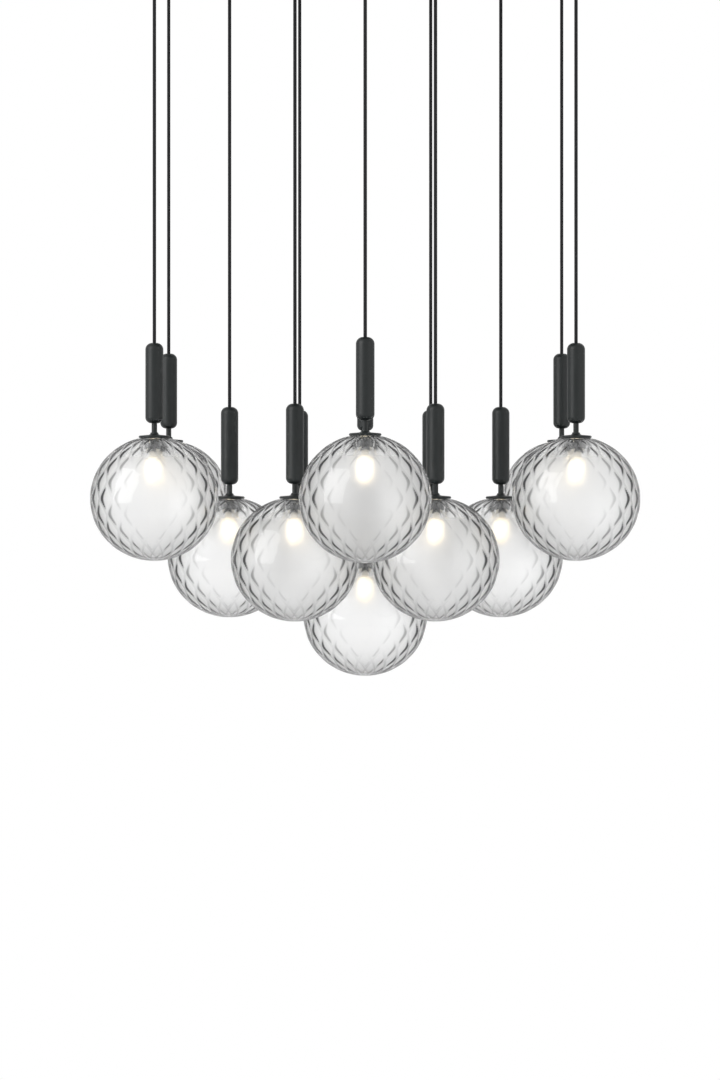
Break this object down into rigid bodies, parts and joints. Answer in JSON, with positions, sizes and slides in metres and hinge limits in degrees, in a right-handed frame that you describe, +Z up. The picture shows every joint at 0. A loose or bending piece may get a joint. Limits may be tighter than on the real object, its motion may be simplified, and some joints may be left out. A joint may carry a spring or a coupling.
{
  "type": "cluster pendant light",
  "caption": "Ceiling light with clear diamond-pattern glass globes on thin dark cords at stepped heights, in a star under one round canopy.",
  "frame": {"origin": "middle of the ceiling bracket's top face, on the ceiling; the light hangs below it", "axes": "+Z up, square to the ceiling; -Y towards the viewer of the front; +X to the viewer's right"},
  "size_m": [0.599, 0.67, 0.8662],
  "materials": {
    "canopy_paint": "satin powder coat",
    "bracket_zinc": "zinc plated",
    "box_plastic": "matt",
    "screws": "black zinc",
    "gland_plastic": "matt",
    "cord_textile": "woven",
    "grip_paint": "satin powder coat",
    "globe_glass": "clear, pressed diamonds",
    "lamp_frost": "frosted"
  },
  "bodies": {
    "canopy": {"ceiling_bracket": "bracket_zinc", "canopy_shell": "canopy_paint", "connection_box": "box_plastic", "side_screws": "screws", "cord_glands": "gland_plastic", "gland_nuts": "gland_plastic", "cord_stops": "gland_plastic", "cord_tails": "cord_textile"},
    "pendant_01": {"pendant_01_cord": "cord_textile", "pendant_01_grip": "grip_paint"},
    "globe_01": {"pendant_01_globe": "globe_glass"},
    "lamp_01": {"pendant_01_lamp": "lamp_frost"},
    "pendant_02": {"pendant_02_cord": "cord_textile", "pendant_02_grip": "grip_paint"},
    "globe_02": {"pendant_02_globe": "globe_glass"},
    "lamp_02": {"pendant_02_lamp": "lamp_frost"},
    "pendant_03": {"pendant_03_cord": "cord_textile", "pendant_03_grip": "grip_paint"},
    "globe_03": {"pendant_03_globe": "globe_glass"},
    "lamp_03": {"pendant_03_lamp": "lamp_frost"},
    "pendant_04": {"pendant_04_cord": "cord_textile", "pendant_04_grip": "grip_paint"},
    "globe_04": {"pendant_04_globe": "globe_glass"},
    "lamp_04": {"pendant_04_lamp": "lamp_frost"},
    "pendant_05": {"pendant_05_cord": "cord_textile", "pendant_05_grip": "grip_paint"},
    "globe_05": {"pendant_05_globe": "globe_glass"},
    "lamp_05": {"pendant_05_lamp": "lamp_frost"},
    "pendant_06": {"pendant_06_cord": "cord_textile", "pendant_06_grip": "grip_paint"},
    "globe_06": {"pendant_06_globe": "globe_glass"},
    "lamp_06": {"pendant_06_lamp": "lamp_frost"},
    "pendant_07": {"pendant_07_cord": "cord_textile", "pendant_07_grip": "grip_paint"},
    "globe_07": {"pendant_07_globe": "globe_glass"},
    "lamp_07": {"pendant_07_lamp": "lamp_frost"},
    "pendant_08": {"pendant_08_cord": "cord_textile", "pendant_08_grip": "grip_paint"},
    "globe_08": {"pendant_08_globe": "globe_glass"},
    "lamp_08": {"pendant_08_lamp": "lamp_frost"},
    "pendant_09": {"pendant_09_cord": "cord_textile", "pendant_09_grip": "grip_paint"},
    "globe_09": {"pendant_09_globe": "globe_glass"},
    "lamp_09": {"pendant_09_lamp": "lamp_frost"},
    "pendant_10": {"pendant_10_cord": "cord_textile", "pendant_10_grip": "grip_paint"},
    "globe_10": {"pendant_10_globe": "globe_glass"},
    "lamp_10": {"pendant_10_lamp": "lamp_frost"},
    "pendant_11": {"pendant_11_cord": "cord_textile", "pendant_11_grip": "grip_paint"},
    "globe_11": {"pendant_11_globe": "globe_glass"},
    "lamp_11": {"pendant_11_lamp": "lamp_frost"},
    "pendant_12": {"pendant_12_cord": "cord_textile", "pendant_12_grip": "grip_paint"},
    "globe_12": {"pendant_12_globe": "globe_glass"},
    "lamp_12": {"pendant_12_lamp": "lamp_frost"},
    "pendant_13": {"pendant_13_cord": "cord_textile", "pendant_13_grip": "grip_paint"},
    "globe_13": {"pendant_13_globe": "globe_glass"},
    "lamp_13": {"pendant_13_lamp": "lamp_frost"}
  },
  "joints": [
    {"name": "swing_01", "type": "hinge", "parent": "canopy", "child": "pendant_01", "pos_m": [0, -0.265, -0.0495], "axis": [-1, 0, 0], "range_deg": [-2.5, 20]},
    {"name": "swing_02", "type": "hinge", "parent": "canopy", "child": "pendant_02", "pos_m": [0.2295, -0.1325, -0.0495], "axis": [-0.5, -0.866, 0], "range_deg": [-2.5, 20]},
    {"name": "swing_03", "type": "hinge", "parent": "canopy", "child": "pendant_03", "pos_m": [0.2295, 0.1325, -0.0495], "axis": [0.5, -0.866, 0], "range_deg": [-2.5, 20]},
    {"name": "swing_04", "type": "hinge", "parent": "canopy", "child": "pendant_04", "pos_m": [0, 0.265, -0.0495], "axis": [1, 0, 0], "range_deg": [-2.5, 20]},
    {"name": "swing_05", "type": "hinge", "parent": "canopy", "child": "pendant_05", "pos_m": [-0.2295, 0.1325, -0.0495], "axis": [0.5, 0.866, 0], "range_deg": [-2.5, 20]},
    {"name": "swing_06", "type": "hinge", "parent": "canopy", "child": "pendant_06", "pos_m": [-0.2295, -0.1325, -0.0495], "axis": [-0.5, 0.866, 0], "range_deg": [-2.5, 20]},
    {"name": "swing_07", "type": "hinge", "parent": "canopy", "child": "pendant_07", "pos_m": [-0.0765, -0.1325, -0.0495], "axis": [-0.866, 0.5, 0], "range_deg": [-0.8, 20]},
    {"name": "swing_08", "type": "hinge", "parent": "canopy", "child": "pendant_08", "pos_m": [0.0765, -0.1325, -0.0495], "axis": [-0.866, -0.5, 0], "range_deg": [-0.8, 20]},
    {"name": "swing_09", "type": "hinge", "parent": "canopy", "child": "pendant_09", "pos_m": [0.153, 0, -0.0495], "axis": [0, -1, 0], "range_deg": [-0.8, 20]},
    {"name": "swing_10", "type": "hinge", "parent": "canopy", "child": "pendant_10", "pos_m": [0.0765, 0.1325, -0.0495], "axis": [0.866, -0.5, 0], "range_deg": [-0.8, 20]},
    {"name": "swing_11", "type": "hinge", "parent": "canopy", "child": "pendant_11", "pos_m": [-0.0765, 0.1325, -0.0495], "axis": [0.866, 0.5, 0], "range_deg": [-0.8, 20]},
    {"name": "swing_12", "type": "hinge", "parent": "canopy", "child": "pendant_12", "pos_m": [-0.153, 0, -0.0495], "axis": [0, 1, 0], "range_deg": [-0.8, 20]},
    {"name": "swing_13", "type": "hinge", "parent": "canopy", "child": "pendant_13", "pos_m": [0, 0, -0.0495], "axis": [-1, 0, 0], "range_deg": [-1.2, 1.2]},
    {"name": "globe_01_off", "type": "slide", "parent": "pendant_01", "child": "globe_01", "axis": [0, 0, -1], "range_m": [0, 0.11]},
    {"name": "globe_02_off", "type": "slide", "parent": "pendant_02", "child": "globe_02", "axis": [0, 0, -1], "range_m": [0, 0.11]},
    {"name": "globe_03_off", "type": "slide", "parent": "pendant_03", "child": "globe_03", "axis": [0, 0, -1], "range_m": [0, 0.11]},
    {"name": "globe_04_off", "type": "slide", "parent": "pendant_04", "child": "globe_04", "axis": [0, 0, -1], "range_m": [0, 0.11]},
    {"name": "globe_05_off", "type": "slide", "parent": "pendant_05", "child": "globe_05", "axis": [0, 0, -1], "range_m": [0, 0.11]},
    {"name": "globe_06_off", "type": "slide", "parent": "pendant_06", "child": "globe_06", "axis": [0, 0, -1], "range_m": [0, 0.11]},
    {"name": "globe_07_off", "type": "slide", "parent": "pendant_07", "child": "globe_07", "axis": [0, 0, -1], "range_m": [0, 0.11]},
    {"name": "globe_08_off", "type": "slide", "parent": "pendant_08", "child": "globe_08", "axis": [0, 0, -1], "range_m": [0, 0.11]},
    {"name": "globe_09_off", "type": "slide", "parent": "pendant_09", "child": "globe_09", "axis": [0, 0, -1], "range_m": [0, 0.11]},
    {"name": "globe_10_off", "type": "slide", "parent": "pendant_10", "child": "globe_10", "axis": [0, 0, -1], "range_m": [0, 0.11]},
    {"name": "globe_11_off", "type": "slide", "parent": "pendant_11", "child": "globe_11", "axis": [0, 0, -1], "range_m": [0, 0.11]},
    {"name": "globe_12_off", "type": "slide", "parent": "pendant_12", "child": "globe_12", "axis": [0, 0, -1], "range_m": [0, 0.11]},
    {"name": "globe_13_off", "type": "slide", "parent": "pendant_13", "child": "globe_13", "axis": [0, 0, -1], "range_m": [0, 0.11]},
    {"name": "lamp_01_out", "type": "slide", "parent": "pendant_01", "child": "lamp_01", "axis": [0, 0, -1], "range_m": [0, 0.03]},
    {"name": "lamp_02_out", "type": "slide", "parent": "pendant_02", "child": "lamp_02", "axis": [0, 0, -1], "range_m": [0, 0.03]},
    {"name": "lamp_03_out", "type": "slide", "parent": "pendant_03", "child": "lamp_03", "axis": [0, 0, -1], "range_m": [0, 0.03]},
    {"name": "lamp_04_out", "type": "slide", "parent": "pendant_04", "child": "lamp_04", "axis": [0, 0, -1], "range_m": [0, 0.03]},
    {"name": "lamp_05_out", "type": "slide", "parent": "pendant_05", "child": "lamp_05", "axis": [0, 0, -1], "range_m": [0, 0.03]},
    {"name": "lamp_06_out", "type": "slide", "parent": "pendant_06", "child": "lamp_06", "axis": [0, 0, -1], "range_m": [0, 0.03]},
    {"name": "lamp_07_out", "type": "slide", "parent": "pendant_07", "child": "lamp_07", "axis": [0, 0, -1], "range_m": [0, 0.03]},
    {"name": "lamp_08_out", "type": "slide", "parent": "pendant_08", "child": "lamp_08", "axis": [0, 0, -1], "range_m": [0, 0.03]},
    {"name": "lamp_09_out", "type": "slide", "parent": "pendant_09", "child": "lamp_09", "axis": [0, 0, -1], "range_m": [0, 0.03]},
    {"name": "lamp_10_out", "type": "slide", "parent": "pendant_10", "child": "lamp_10", "axis": [0, 0, -1], "range_m": [0, 0.03]},
    {"name": "lamp_11_out", "type": "slide", "parent": "pendant_11", "child": "lamp_11", "axis": [0, 0, -1], "range_m": [0, 0.03]},
    {"name": "lamp_12_out", "type": "slide", "parent": "pendant_12", "child": "lamp_12", "axis": [0, 0, -1], "range_m": [0, 0.03]},
    {"name": "lamp_13_out", "type": "slide", "parent": "pendant_13", "child": "lamp_13", "axis": [0, 0, -1], "range_m": [0, 0.03]}
  ]
}
